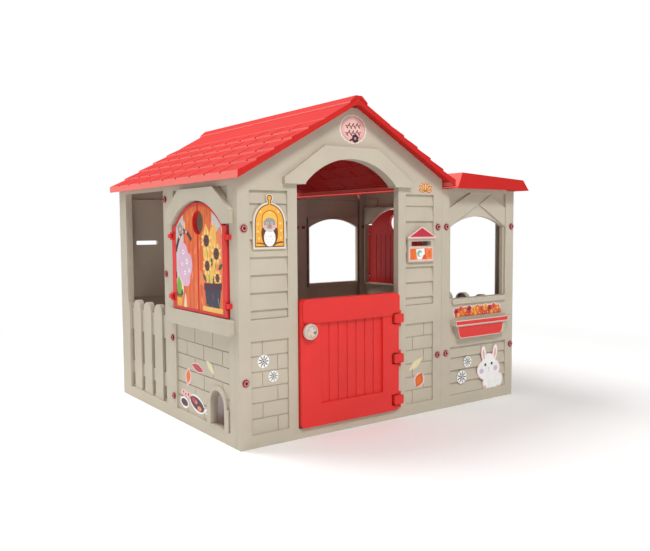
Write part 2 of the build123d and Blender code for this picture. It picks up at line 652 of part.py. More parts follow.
roof_ridge_cap.part.label = "roof_ridge_cap"
export_step(roof_ridge_cap.part, "parts/roof_ridge_cap.step")

# The annex lid is a four-sided tray turned upside down, its top falling gently away from the house.
LID_X = (X_SEAM + 25, X_RIGHT + ANNEX_OVERHANG)
LID_Y = DEPTH / 2 + ANNEX_GABLE_OVERHANG
LID_Z = 773
LID_TOP_X = (X_SEAM + 65, X_RIGHT + 12)
LID_TOP_Z = (829, 812)
LID_TOP_Y = LID_Y - 16
LID_SKIN = 5


def lid_block(gap, floor, mode):
    """Sloping-sided block of the annex lid, shrunk by a gap."""
    run = LID_TOP_X[1] - LID_TOP_X[0]
    fall = LID_TOP_Z[0] - LID_TOP_Z[1]
    stretch = sqrt(run**2 + fall**2)
    middle = ((LID_TOP_X[0] + LID_TOP_X[1]) / 2, 0, (LID_TOP_Z[0] + LID_TOP_Z[1]) / 2 - gap)
    with BuildSketch(Plane(origin=((LID_X[0] + LID_X[1]) / 2, 0, floor))) as foot:
        Rectangle(LID_X[1] - LID_X[0] - 2 * gap, 2 * (LID_Y - gap))
    with BuildSketch(Plane(origin=middle, x_dir=(run, 0, -fall), z_dir=(fall, 0, run))) as head:
        Rectangle(stretch - 2 * gap, 2 * (LID_TOP_Y - gap))
    loft([foot.sketch.face(), head.sketch.face()], ruled=True, mode=mode)


with BuildPart() as annex_roof:
    lid_block(0, LID_Z, Mode.ADD)
    lid_block(LID_SKIN, LID_Z, Mode.SUBTRACT)
annex_roof.part.label = "annex_roof"
export_step(annex_roof.part, "parts/annex_roof.step")


# ---- door ----
PLANK_BOX = (278, 527, 102, 350)
PLANK_SINK = 8
PLANKS = 7
RAIL_Z = 352
RAIL_PROUD = 4
NOTCH_CLEAR = 4
DOOR_TURN = 8

with BuildPart() as door:
    with BuildSketch(FRONT.offset(DOOR_W[0])) as door_face:
        rect(*DOOR_U, *DOOR_Z)
        fillet(door_face.vertices().group_by(Axis.Z)[0], 14)
        fillet(door_face.vertices().group_by(Axis.Z)[-1], 6)
    extrude(door_face.sketch, amount=DOOR_W[1] - DOOR_W[0])
    soft_slab(FRONT, DOOR_W[1] - 1, DOOR_W[1] + RAIL_PROUD, DOOR_U[0] + 5, DOOR_U[1], RAIL_Z, DOOR_Z[1], 16)
    slab(FRONT, DOOR_W[1] - PLANK_SINK, DOOR_W[1] + 1, *PLANK_BOX, Mode.SUBTRACT)
    plank = (PLANK_BOX[1] - PLANK_BOX[0]) / PLANKS
    for n in range(1, PLANKS):
        joint = PLANK_BOX[0] + n * plank
        bed = DOOR_W[1] - PLANK_SINK
        slab(FRONT, bed - 2, bed + 1, joint - 2, joint + 2, *PLANK_BOX[2:], Mode.SUBTRACT)
    notch_u = DOOR_AXIS[0] - DOOR_CLIP[0] - NOTCH_CLEAR - 2
    with BuildSketch(FRONT.offset(DOOR_W[0])) as shallow:
        rect(DOOR_U[0] + RIM, notch_u - RIM, DOOR_Z[0] + 2 * RIM, DOOR_Z[1] - RIM)
        with Locations(KNOB):
            Circle(13, mode=Mode.SUBTRACT)
    extrude(shallow.sketch, amount=DOOR_W[1] - DOOR_W[0] - PLANK_SINK - SKIN - 2, mode=Mode.SUBTRACT)
    with BuildSketch(FRONT.offset(DOOR_W[0])) as deep:
        rect(DOOR_U[0] + RIM, notch_u - RIM, DOOR_Z[0] + 2 * RIM, DOOR_Z[1] - RIM)
        u0, u1, v0, v1 = PLANK_BOX
        rect(u0 - SKIN, u1 + SKIN, v0 - SKIN, v1 + SKIN, Mode.SUBTRACT)
        with Locations(KNOB):
            Circle(13, mode=Mode.SUBTRACT)
    extrude(deep.sketch, amount=DOOR_W[1] - DOOR_W[0] - SKIN, mode=Mode.SUBTRACT)
    for z in DOOR_CLIP_Z:
        low = z - DOOR_CLIP[1] / 2 - NOTCH_CLEAR
        high = z + DOOR_CLIP[1] / 2 + NOTCH_CLEAR
        slab(FRONT, DOOR_W[0] - 1, DOOR_W[1] + 20, notch_u, DOOR_U[1] + 1, low, high, Mode.SUBTRACT)
        for ear in (low - DOOR_TURN, high):
            upright(FRONT, *DOOR_AXIS, ear, ear + DOOR_TURN, PIN_R)
            slab(FRONT, DOOR_AXIS[1] - PIN_R, DOOR_AXIS[1], DOOR_U[1] - 4, DOOR_AXIS[0], ear, ear + DOOR_TURN)
        upright(FRONT, *DOOR_AXIS, low - 1, high + 1, PIN_R)
    disc(FRONT, DOOR_W[0] - 1, DOOR_W[1] + 1, [KNOB], SPINDLE_HOLE_R, Mode.SUBTRACT)
door.part.label = "door"
export_step(door.part, "parts/door.step")

with BuildPart() as door_hinge_clips:
    reach, tall = DOOR_CLIP
    for z in DOOR_CLIP_Z:
        low, high = z - tall / 2, z + tall / 2
        axis_u, axis_w = DOOR_AXIS
        soft_slab(FRONT, axis_w - 8, axis_w + 8, axis_u - reach, axis_u + 11, low, high, 4)
        slab(FRONT, 0.1, axis_w, DOOR_GAP[1] + 0.4, axis_u + 11, low + 4, high - 4)
        upright(FRONT, *DOOR_AXIS, low - 1, high + 1, PIN_HOLE_R, Mode.SUBTRACT)
door_hinge_clips.part.label = "door_hinge_clips"
export_step(door_hinge_clips.part, "parts/door_hinge_clips.step")

KNOB_W = (12.5, 21, 31)
KNOB_R = 24.5
KNOB_FACE = (18.5, 1.2)
KEYHOLE = (11.5, -3, 2.6, 5)
LATCH_W = (-30.5, -24.6)
LATCH = (46, 9)

with BuildPart() as door_knob:
    disc(FRONT, LATCH_W[0], KNOB_W[1], [KNOB], SPINDLE_R)
    disc(FRONT, KNOB_W[0], KNOB_W[1], [KNOB], 14)
    disc(FRONT, KNOB_W[1] - 1, KNOB_W[2], [KNOB], KNOB_R)
    fillet(edges().group_by(Axis.Y)[0], 5)
    disc(FRONT, KNOB_W[2] - KNOB_FACE[1], KNOB_W[2] + 1, [KNOB], KNOB_FACE[0], Mode.SUBTRACT)
    keyhole = (KNOB[0] + KEYHOLE[0], KNOB[1] + KEYHOLE[1])
    disc(FRONT, KNOB_W[2] - KEYHOLE[3], KNOB_W[2] + 1, [keyhole], KEYHOLE[2], Mode.SUBTRACT)
door_knob.part.label = "door_knob"
export_step(door_knob.part, "parts/door_knob.step")

with BuildPart() as door_latch:
    length, half = LATCH
    with BuildSketch(FRONT.offset(LATCH_W[0])) as cam:
        rect(KNOB[0] - half, KNOB[0] + half, KNOB[1] - length + half, KNOB[1])
        with Locations(KNOB, (KNOB[0], KNOB[1] - length + half)):
            Circle(half)
        with Locations(KNOB):
            Circle(SPINDLE_R + FIT, mode=Mode.SUBTRACT)
    extrude(cam.sketch, amount=LATCH_W[1] - LATCH_W[0])
door_latch.part.label = "door_latch"
export_step(door_latch.part, "parts/door_latch.step")


# ---- window shutters ----
PANEL_SINK = 1.5
PANEL_HALF = 162
PANEL_Z = (388, 643, 713)
MEETING_STRIP = 3
COLLAR = (43, 37, 5)
SHUTTER_Z = (380, 650, 654, 721)
EAR = (17, 5)
NOTCH = 9
CLIP_REACH = 20
CLIP_GAP = 1
WALL_GAP = 6.5
CLIP_RING_R = 6.4
SHUTTER_PLANK = 33
PLANK_Z = (394, 608)


def shutter(wall, side):
    """One leaf of a window: half an arch, half a hand hole, and its hinge pins."""
    low, head, spring, crown = SHUTTER_Z
    wide, half = SHUTTER_HALF
    with BuildSketch(wall.offset(SHUTTER_W[0])) as leaf:
        rect(WINDOW_C - wide, WINDOW_C + wide, low, head)
        arch(WINDOW_C, half, head - 1, spring, crown)
        with Locations((WINDOW_C, HANDLE[0])):
            Circle(HANDLE[1], mode=Mode.SUBTRACT)
        rect(*sorted((WINDOW_C + side * 0.8, WINDOW_C - side * 300)), 0, 900, Mode.SUBTRACT)
    extrude(leaf.sketch, amount=SHUTTER_W[1] - SHUTTER_W[0])
    with BuildSketch(wall.offset(SHUTTER_W[0])) as collar:
        with Locations((WINDOW_C, HANDLE[0])):
            Circle(COLLAR[0])
            Circle(COLLAR[1], mode=Mode.SUBTRACT)
        rect(*sorted((WINDOW_C + side * 0.8, WINDOW_C - side * 300)), 0, 900, Mode.SUBTRACT)
    extrude(collar.sketch, amount=-COLLAR[2])
    with BuildSketch(wall.offset(SHUTTER_W[1])) as panel:
        arch(WINDOW_C, PANEL_HALF, *PANEL_Z)
        rect(*sorted((WINDOW_C + side * MEETING_STRIP, WINDOW_C - side * 300)), 0, 900, Mode.SUBTRACT)
    extrude(panel.sketch, amount=-PANEL_SINK, mode=Mode.SUBTRACT)
    for n in range(1, int(PANEL_HALF / SHUTTER_PLANK) + 1):
        joint = WINDOW_C + side * n * SHUTTER_PLANK
        slab(wall, SHUTTER_W[0] - 1, SHUTTER_W[0] + 2, joint - 1.5, joint + 1.5, *PLANK_Z, Mode.SUBTRACT)
    pin_u = WINDOW_C + side * SHUTTER_AXIS[0]
    for z in SHUTTER_CLIP_Z:
        bottom = z - SHUTTER_CLIP_H / 2 - CLIP_GAP
        top = z + SHUTTER_CLIP_H / 2 + CLIP_GAP
        notch = sorted((pin_u - side * NOTCH, pin_u + side * NOTCH))
        slab(wall, SHUTTER_W[0] - 1, 1 + SHUTTER_W[1], *notch, bottom, top, Mode.SUBTRACT)
        for ear in (bottom - EAR[1], top):
            tab = sorted((pin_u - side * EAR[0], pin_u))
            slab(wall, SHUTTER_W[1] - 1, SHUTTER_AXIS[1] + SHUTTER_PIN_R, *tab, ear, ear + EAR[1])
            upright(wall, pin_u, SHUTTER_AXIS[1], ear, ear + EAR[1], SHUTTER_PIN_R)
        upright(wall, pin_u, SHUTTER_AXIS[1], bottom - 1, top + 1, SHUTTER_PIN_R)


def shutter_clips(wall):
    """Four hinge clips of one window, each standing on the panel beside the opening."""
    for side in (-1, 1):
        pin_u = WINDOW_C + side * SHUTTER_AXIS[0]
        for z in SHUTTER_CLIP_Z:
            low, high = z - SHUTTER_CLIP_H / 2, z + SHUTTER_CLIP_H / 2
            upright(wall, pin_u, SHUTTER_AXIS[1], low, high, CLIP_RING_R)
            block = sorted((pin_u + side * WALL_GAP, pin_u + side * CLIP_REACH))
            slab(wall, 0.1, SHUTTER_AXIS[1] + SHUTTER_PIN_R, *block, low, high)
            neck = sorted((pin_u, pin_u + side * WALL_GAP))
            slab(wall, SHUTTER_AXIS[1] - 4, SHUTTER_AXIS[1] + SHUTTER_PIN_R, *neck, low, high)
            upright(wall, pin_u, SHUTTER_AXIS[1], low - 1, high + 1, SHUTTER_PIN_R + 0.35, Mode.SUBTRACT)


with BuildPart() as left_shutter_front:
    shutter(LEFT, 1)
left_shutter_front.part.label = "left_shutter_front"
export_step(left_shutter_front.part, "parts/left_shutter_front.step")

with BuildPart() as left_shutter_rear:
    shutter(LEFT, -1)
left_shutter_rear.part.label = "left_shutter_rear"
export_step(left_shutter_rear.part, "parts/left_shutter_rear.step")

with BuildPart() as left_shutter_clips:
    shutter_clips(LEFT)
left_shutter_clips.part.label = "left_shutter_clips"
export_step(left_shutter_clips.part, "parts/left_shutter_clips.step")

with BuildPart() as right_shutter_front:
    shutter(RIGHT_REAR, -1)
right_shutter_front.part.label = "right_shutter_front"
export_step(right_shutter_front.part, "parts/right_shutter_front.step")

with BuildPart() as right_shutter_rear:
    shutter(RIGHT_REAR, 1)
right_shutter_rear.part.label = "right_shutter_rear"
export_step(right_shutter_rear.part, "parts/right_shutter_rear.step")

with BuildPart() as right_shutter_clips:
    shutter_clips(RIGHT_REAR)
right_shutter_clips.part.label = "right_shutter_clips"
export_step(right_shutter_clips.part, "parts/right_shutter_clips.step")


# ---- planter ----
PLANTER_RIM = (145.5, 290, 312, 29)
PLANTER_BODY = (128, 118, 248, 23)
PLANTER_WALL = 4

with BuildPart() as planter_box:
    rim_half, rim_low, rim_high, rim_w = PLANTER_RIM
    top_half, foot_half, foot_z, body_w = PLANTER_BODY
    body = [(-foot_half, foot_z), (-top_half, rim_low + 1), (top_half, rim_low + 1), (foot_half, foot_z)]
    plate(ANNEX_FRONT, 0.2, body_w, [(ANNEX_C + u, v) for u, v in body])
    fillet(edges().filter_by(Axis.X).group_by(Axis.Z)[0].group_by(Axis.Y)[0], 5)
    soft_slab(ANNEX_FRONT, 0.2, rim_w, ANNEX_C - rim_half, ANNEX_C + rim_half, rim_low, rim_high, 4)
    hollow = foot_half - PLANTER_WALL
    box_w = (0.2 + PLANTER_WALL, body_w - PLANTER_WALL)
    slab(ANNEX_FRONT, *box_w, ANNEX_C - hollow, ANNEX_C + hollow, foot_z + PLANTER_WALL, 330, Mode.SUBTRACT)
planter_box.part.label = "planter_box"
export_step(planter_box.part, "parts/planter_box.step")


# ---- bolts and nuts ----
CORNER = WALL_T + FIT + FLANGE[1]
REAR_SEAM = WALL_T + ANNEX_INSET + FIT + POST_T
LAP_DEPTH = WALL_T
TAB_DEPTH = TAB[2]
BOLTED = (
    (FRONT, [(u, v) for u in GABLE_BOLT_U for v in BOLT_Z], CORNER),
    (REAR, [(GABLE_BOLT_U[1], v) for v in BOLT_Z], CORNER),
    (REAR, [(GABLE_BOLT_U[0], v) for v in BOLT_Z], REAR_SEAM),
    (ANNEX_FRONT, [(u, v) for u in ANNEX_BOLT_U for v in BOLT_Z], CORNER),
    (ANNEX_REAR, [(u, v) for u in ANNEX_BOLT_U for v in BOLT_Z], CORNER),
    (LEFT, LAP_BOLTS, LAP_DEPTH),
    (RIGHT_REAR, LAP_BOLTS, LAP_DEPTH),
    (LEFT, TAB_BOLTS, TAB_DEPTH),
    (RIGHT_REAR, TAB_BOLTS, TAB_DEPTH),
)

with BuildPart() as wall_bolts:
    for wall, points, depth in BOLTED:
        disc(wall, -depth - NUT[1], BOLT_HEAD[1], points, BOLT_R)
        disc(wall, 0.1, BOLT_HEAD[1], points, BOLT_HEAD[0])
    fillet(edges().filter_by(GeomType.CIRCLE).filter_by(lambda e: e.radius == BOLT_HEAD[0]), 1.6)
    for wall, points, _ in BOLTED:
        with BuildSketch(wall.offset(BOLT_HEAD[1])) as hexes:
            with Locations(*points):
                RegularPolygon(4.5, 6)
        extrude(hexes.sketch, amount=-3, mode=Mode.SUBTRACT)
wall_bolts.part.label = "wall_bolts"
export_step(wall_bolts.part, "parts/wall_bolts.step")

with BuildPart() as wall_nuts:
    for wall, points, depth in BOLTED:
        with BuildSketch(wall.offset(-depth - 0.1)) as nut_face:
            with Locations(*points):
                RegularPolygon(NUT[0], 6)
                Circle(BOLT_R + FIT, mode=Mode.SUBTRACT)
        extrude(nut_face.sketch, amount=-NUT[1])
wall_nuts.part.label = "wall_nuts"
export_step(wall_nuts.part, "parts/wall_nuts.step")
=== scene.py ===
import json
import math

import bmesh
import bpy
from mathutils import Matrix, Vector
from mathutils.geometry import delaunay_2d_cdt


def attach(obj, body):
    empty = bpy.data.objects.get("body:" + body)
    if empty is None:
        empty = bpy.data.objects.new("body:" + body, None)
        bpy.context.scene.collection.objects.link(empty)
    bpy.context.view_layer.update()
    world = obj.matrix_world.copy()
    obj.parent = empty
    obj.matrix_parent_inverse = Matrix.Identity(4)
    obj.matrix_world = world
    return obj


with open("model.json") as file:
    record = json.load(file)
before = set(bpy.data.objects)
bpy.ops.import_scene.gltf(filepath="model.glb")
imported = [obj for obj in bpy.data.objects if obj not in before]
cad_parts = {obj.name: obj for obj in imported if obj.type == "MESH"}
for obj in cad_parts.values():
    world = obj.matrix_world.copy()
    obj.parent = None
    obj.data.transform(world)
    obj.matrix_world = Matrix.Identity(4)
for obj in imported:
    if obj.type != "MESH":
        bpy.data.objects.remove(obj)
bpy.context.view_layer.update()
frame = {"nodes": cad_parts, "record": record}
scene = bpy.context.scene
scene.view_settings.view_transform = "Standard"
scene.view_settings.look = "None"

# ---- camera, at the angle of the reference view ----
CAMERA_AT = Vector((-1.5764, -2.2498, 0.6456))
AZIMUTH, ELEVATION, ROLL = (math.radians(a) for a in (35.80, -3.93, -0.34))
LENS, SENSOR = 39.70, 36.0


def make_camera():
    forward = Vector((
        math.sin(AZIMUTH) * math.cos(ELEVATION),
        math.cos(AZIMUTH) * math.cos(ELEVATION),
        math.sin(ELEVATION),
    ))
    level = Vector((math.cos(AZIMUTH), -math.sin(AZIMUTH), 0))
    upright = level.cross(forward)
    right = math.cos(ROLL) * level + math.sin(ROLL) * upright
    up = -math.sin(ROLL) * level + math.cos(ROLL) * upright
    data = bpy.data.cameras.new("camera")
    data.lens, data.sensor_width, data.sensor_fit = LENS, SENSOR, "HORIZONTAL"
    camera = bpy.data.objects.new("camera", data)
    scene.collection.objects.link(camera)
    turn = Matrix((right, up, -forward)).transposed()
    camera.matrix_world = Matrix.Translation(CAMERA_AT) @ turn.to_4x4()
    scene.camera = camera


# ---- materials ----
def nodes_of(name):
    mat = bpy.data.materials.new(name)
    mat.use_nodes = True
    tree = mat.node_tree
    return mat, tree, tree.nodes["Principled BSDF"]


def new(tree, kind, **inputs):
    node = tree.nodes.new(kind)
    for key, value in inputs.items():
        node.inputs[key.replace("_", " ")].default_value = value
    return node


def ramp(tree, fac, stops):
    """Colour ramp of (position, colour) stops, driven by fac."""
    node = tree.nodes.new("ShaderNodeValToRGB")
    elements = node.color_ramp.elements
    while len(elements) < len(stops):
        elements.new(0.5)
    for element, (position, colour) in zip(elements, stops):
        element.position = position
        element.color = [*colour, 1]
    tree.links.new(fac, node.inputs["Fac"])
    return node.outputs["Color"]


def paint_riser_highlight(tree, coords, finish, riser_highlight):
    """Painted highlight: a paler colour on faces that stand square to X, such as the lower edges of the
    tiles.
    """
    link = tree.links.new
    facing = tree.nodes.new("ShaderNodeSeparateXYZ")
    link(coords.outputs["Normal"], facing.inputs["Vector"])
    size = tree.nodes.new("ShaderNodeMath")
    size.operation = "ABSOLUTE"
    link(facing.outputs["X"], size.inputs[0])
    highlight_mask = new(tree, "ShaderNodeMapRange", From_Min=0.7, From_Max=0.9)
    link(size.outputs[0], highlight_mask.inputs["Value"])
    mix = tree.nodes.new("ShaderNodeMix")
    mix.data_type = "RGBA"
    link(highlight_mask.outputs["Result"], mix.inputs[0])
    link(finish, mix.inputs[6])
    mix.inputs[7].default_value = [*riser_highlight, 1]
    return mix.outputs[2]


GRAIN, GRAIN_BUMP, DRIFT = 900.0, 0.12, 0.05


def plastic(name, colour, rough, round_mm=1.6, edge=0.0, gloss=0.3, riser_highlight=None):
    """Moulded plastic: slow colour drift, fine grain, softened edges; edge is how pale the sharp edges are
    painted, partly as rubbed wear and partly as a painted highlight.
    """
    mat, tree, shader = nodes_of(name)
    link = tree.links.new
    coords = tree.nodes.new("ShaderNodeTexCoord")
    slow = new(tree, "ShaderNodeTexNoise", Scale=7.0, Detail=4.0, Roughness=0.6)
    fine = new(tree, "ShaderNodeTexNoise", Scale=GRAIN, Detail=2.0)
    link(coords.outputs["Object"], slow.inputs["Vector"])
    link(coords.outputs["Object"], fine.inputs["Vector"])
    dark = [c * (1 - DRIFT) for c in colour]
    light = [min(1, c * (1 + DRIFT)) for c in colour]
    body = ramp(tree, slow.outputs["Fac"], [(0.3, dark), (0.7, light)])
    # sharp edges painted paler: partly rubbed wear, partly a painted highlight
    wear_and_highlight_source = tree.nodes.new("ShaderNodeNewGeometry")
    rub_and_highlight = new(tree, "ShaderNodeMapRange", From_Min=0.51, From_Max=0.6, To_Min=0.0, To_Max=edge)
    link(wear_and_highlight_source.outputs["Pointiness"], rub_and_highlight.inputs["Value"])
    scuff_and_highlight = tree.nodes.new("ShaderNodeMix")
    scuff_and_highlight.data_type = "RGBA"
    link(rub_and_highlight.outputs["Result"], scuff_and_highlight.inputs[0])
    link(body, scuff_and_highlight.inputs[6])
    scuff_and_highlight.inputs[7].default_value = [*[min(1, c * 1.3 + 0.06) for c in colour], 1]
    finish = scuff_and_highlight.outputs[2]
    # painted highlight on the faces square to X, such as the tile risers
    if riser_highlight:
        finish = paint_riser_highlight(tree, coords, finish, riser_highlight)
    link(finish, shader.inputs["Base Color"])
    sheen = new(tree, "ShaderNodeMapRange", To_Min=rough - 0.06, To_Max=rough + 0.08)
    link(slow.outputs["Fac"], sheen.inputs["Value"])
    link(sheen.outputs["Result"], shader.inputs["Roughness"])
    soft = tree.nodes.new("ShaderNodeBevel")
    soft.samples = 4
    soft.inputs["Radius"].default_value = round_mm / 1000
    relief = new(tree, "ShaderNodeBump", Strength=GRAIN_BUMP, Distance=0.0004)
    link(fine.outputs["Fac"], relief.inputs["Height"])
    link(soft.outputs["Normal"], relief.inputs["Normal"])
    link(relief.outputs["Normal"], shader.inputs["Normal"])
    shader.inputs["Specular IOR Level"].default_value = gloss
    return mat


def vinyl(name, colour, mottle=0.05):
    """Printed sticker film: flat ink with a faint screen mottle under a satin coat."""
    mat, tree, shader = nodes_of(name)
    link = tree.links.new
    coords = tree.nodes.new("ShaderNodeTexCoord")
    cloud = new(tree, "ShaderNodeTexNoise", Scale=45.0, Detail=3.0, Roughness=0.65)
    weave = new(tree, "ShaderNodeTexNoise", Scale=700.0, Detail=1.0)
    link(coords.outputs["Object"], cloud.inputs["Vector"])
    link(coords.outputs["Object"], weave.inputs["Vector"])
    dark = [c * (1 - mottle) for c in colour]
    light = [min(1, c * (1 + mottle)) for c in colour]
    ink = ramp(tree, cloud.outputs["Fac"], [(0.32, dark), (0.68, light)])
    link(ink, shader.inputs["Base Color"])
    relief = new(tree, "ShaderNodeBump", Strength=0.08, Distance=0.0002)
    link(weave.outputs["Fac"], relief.inputs["Height"])
    link(relief.outputs["Normal"], shader.inputs["Normal"])
    shader.inputs["Roughness"].default_value = 0.42
    shader.inputs["Specular IOR Level"].default_value = 0.35
    return mat


BEIGE = (0.525, 0.468, 0.370)
RED = (0.72, 0.030, 0.026)
# pale red painted on the tile risers as a painted highlight
TILE_RISER_HIGHLIGHT = (0.92, 0.21, 0.18)
MATERIALS = {
    "wall_plastic": plastic("wall_plastic", BEIGE, rough=0.5),
    "roof_plastic": plastic("roof_plastic", (0.56, 0.022, 0.019), rough=0.6, gloss=0.08, riser_highlight=TILE_RISER_HIGHLIGHT),
    "red_plastic": plastic("red_plastic", RED, rough=0.38),
    # edge paints the sharp edges of the knob and bolts paler, partly as wear and partly as a painted
    # highlight
    "knob_plastic": plastic("knob_plastic", (0.62, 0.50, 0.44), rough=0.4, edge=0.5),
    "bolt_plastic": plastic("bolt_plastic", (0.22, 0.012, 0.02), rough=0.32, round_mm=0.8, edge=0.9),
}
for part in frame["record"]["subparts"]:
    node = frame["nodes"][part["node"]]
    node.data.materials.clear()
    node.data.materials.append(MATERIALS[part["material_slot"]])

INK = {
    "white": (0.87, 0.86, 0.84),
    "cream": (0.78, 0.68, 0.45),
    "rim": (0.72, 0.66, 0.54),
    "blush": (0.76, 0.44, 0.42),
    "rose": (0.62, 0.22, 0.23),
    "shell": (0.80, 0.52, 0.48),
    "crimson": (0.50, 0.025, 0.05),
    "magenta": (0.42, 0.04, 0.16),
    "plum": (0.062, 0.010, 0.030),
    "navy": (0.030, 0.030, 0.060),
    "ink": (0.018, 0.012, 0.012),
    "bark": (0.14, 0.045, 0.015),
    "umber": (0.36, 0.12, 0.02),
    "amber": (0.85, 0.40, 0.055),
    "gold": (0.88, 0.50, 0.10),
    "lemon": (0.90, 0.66, 0.24),
    "orange": (0.76, 0.155, 0.022),
    "flame": (0.72, 0.095, 0.018),
    "coral": (0.85, 0.22, 0.09),
    "peach": (0.86, 0.48, 0.20),
    "grey": (0.33, 0.31, 0.29),
    "smoke": (0.60, 0.58, 0.57),
    "pink": (0.74, 0.44, 0.60),
    "lilac": (0.62, 0.50, 0.62),
    "green": (0.17, 0.40, 0.05),
    "moss": (0.035, 0.10, 0.02),
    "teal": (0.20, 0.52, 0.40),
    "sand": (0.64, 0.56, 0.37),
    "straw": (0.76, 0.66, 0.40),
    "rust": (0.60, 0.11, 0.02),
    "red": (0.70, 0.035, 0.030),
    # pale pink for the painted highlights round the bolts
    "ring": (0.62, 0.28, 0.27),
}
INKS = {name: vinyl("print_" + name, colour) for name, colour in INK.items()}

# ---- sticker outlines, in millimetres on a wall: u to the right seen from outside, v up ----
ROUND = 28


def placed(points, u, v, turn):
    """The points turned anticlockwise by turn degrees about (0, 0), then moved to (u, v)."""
    cos, sin = math.cos(math.radians(turn)), math.sin(math.radians(turn))
    return [(u + x * cos - y * sin, v + x * sin + y * cos) for x, y in points]


def ellipse(u, v, half_u, half_v, turn=0, steps=ROUND):
    """Outline of an ellipse, turned anticlockwise by turn degrees."""
    angles = [2 * math.pi * n / steps for n in range(steps)]
    return placed([(half_u * math.cos(a), half_v * math.sin(a)) for a in angles], u, v, turn)


def leaf(u, v, long, wide, turn, steps=9):
    """Pointed leaf outline between two arcs."""
    upper = []
    for n in range(steps + 1):
        upper.append((-long / 2 + long * n / steps, wide / 2 * math.sin(math.pi * n / steps)))
    lower = [(x, -y) for x, y in reversed(upper[1:-1])]
    return placed(upper + lower, u, v, turn)


def wavy(u, v, half_u, half_v, lobes, depth, steps=6):
    """Scalloped round outline."""
    out = []
    for n in range(lobes * steps):
        a = 2 * math.pi * n / (lobes * steps)
        swell = 1 + depth * abs(math.sin(lobes * a / 2)) - depth / 2
        out.append((u + half_u * swell * math.cos(a), v + half_v * swell * math.sin(a)))
    return out


def arched(u, half, low, spring, crown, steps=20):
    """Straight-sided outline with an elliptical top."""
    out = [(u - half, low), (u + half, low)]
    for n in range(steps + 1):
        a = math.pi * n / steps
        out.append((u + half * math.cos(a), spring + (crown - spring) * math.sin(a)))
    return out


def segment_arch(u, half, low, spring, crown, steps=24):
    """Straight-sided outline that ends in a circular segment, like the moulded panels."""
    rise = crown - spring
    radius = (half * half + rise * rise) / (2 * rise)
    centre = crown - radius
    sweep = math.asin(half / radius)
    out = [(u - half, low), (u + half, low)]
    for n in range(steps + 1):
        a = sweep - 2 * sweep * n / steps
        out.append((u + radius * math.sin(a), centre + radius * math.cos(a)))
    return out


def box(u0, u1, v0, v1):
    return [(u0, v0), (u1, v0), (u1, v1), (u0, v1)]


def grown(outline, by):
    """The outline pushed out from its middle, for a pale border."""
    mid_u = sum(p[0] for p in outline) / len(outline)
    mid_v = sum(p[1] for p in outline) / len(outline)
    out = []
    for u, v in outline:
        away = math.hypot(u - mid_u, v - mid_v) or 1
        out.append((u + by * (u - mid_u) / away, v + by * (v - mid_v) / away))
    return out


def ribbon(points, width):
    """Even-width stroke along a line of points."""
    left, right = [], []
    for n, (u, v) in enumerate(points):
        before, after = points[max(n - 1, 0)], points[min(n + 1, len(points) - 1)]
        du, dv = after[0] - before[0], after[1] - before[1]
        size = math.hypot(du, dv) or 1
        left.append((u - dv / size * width / 2, v + du / size * width / 2))
        right.append((u + dv / size * width / 2, v - du / size * width / 2))
    return left + right[::-1]


def curve(start, bend, end, steps=12):
    """Points along a quadratic curve."""
    out = []
    for n in range(steps + 1):
        t = n / steps
        weights = ((1 - t) ** 2, 2 * t * (1 - t), t * t)
        out.append(tuple(sum(k * p for k, p in zip(weights, axis)) for axis in zip(start, bend, end)))
    return out


# ---- walls: where (u, v) starts, the way u runs, and the outward normal ----
CAD_MM = 1000
HALF_DEPTH, LEFT_X, SEAM_X, RIGHT_X = 465.5, -593, 212, 589
ANNEX_INSET = 22
WALLS = {
    "front": ((LEFT_X, -HALF_DEPTH), (1, 0), (0, -1)),
    "annex": ((SEAM_X, -HALF_DEPTH), (1, 0), (0, -1)),
    "rear": ((SEAM_X, HALF_DEPTH), (-1, 0), (0, 1)),
    "left": ((LEFT_X, HALF_DEPTH), (0, -1), (-1, 0)),
    "right": ((RIGHT_X, -HALF_DEPTH - ANNEX_INSET), (0, 1), (1, 0)),
}
FILM = 0.35
LIFT = 0.05


def on_wall(wall, u, v, w):
    (x, y), along, out = WALLS[wall]
    return Vector((x + along[0] * u + out[0] * w, y + along[1] * u + out[1] * w, v)) / CAD_MM


def inside(point, outline):
    """True if a point lies in a closed outline."""
    u, v = point
    odd = False
    for (u0, v0), (u1, v1) in zip(outline, outline[1:] + outline[:1]):
        if (v0 > v) != (v1 > v) and u < (u1 - u0) * (v - v0) / (v1 - v0) + u0:
            odd = not odd
    return odd


def anticlockwise(outline):
    """The outline with its points in anticlockwise order."""
    area = sum(u0 * v1 - u1 * v0 for (u0, v0), (u1, v1) in zip(outline, outline[1:] + outline[:1]))
    return outline if area > 0 else outline[::-1]


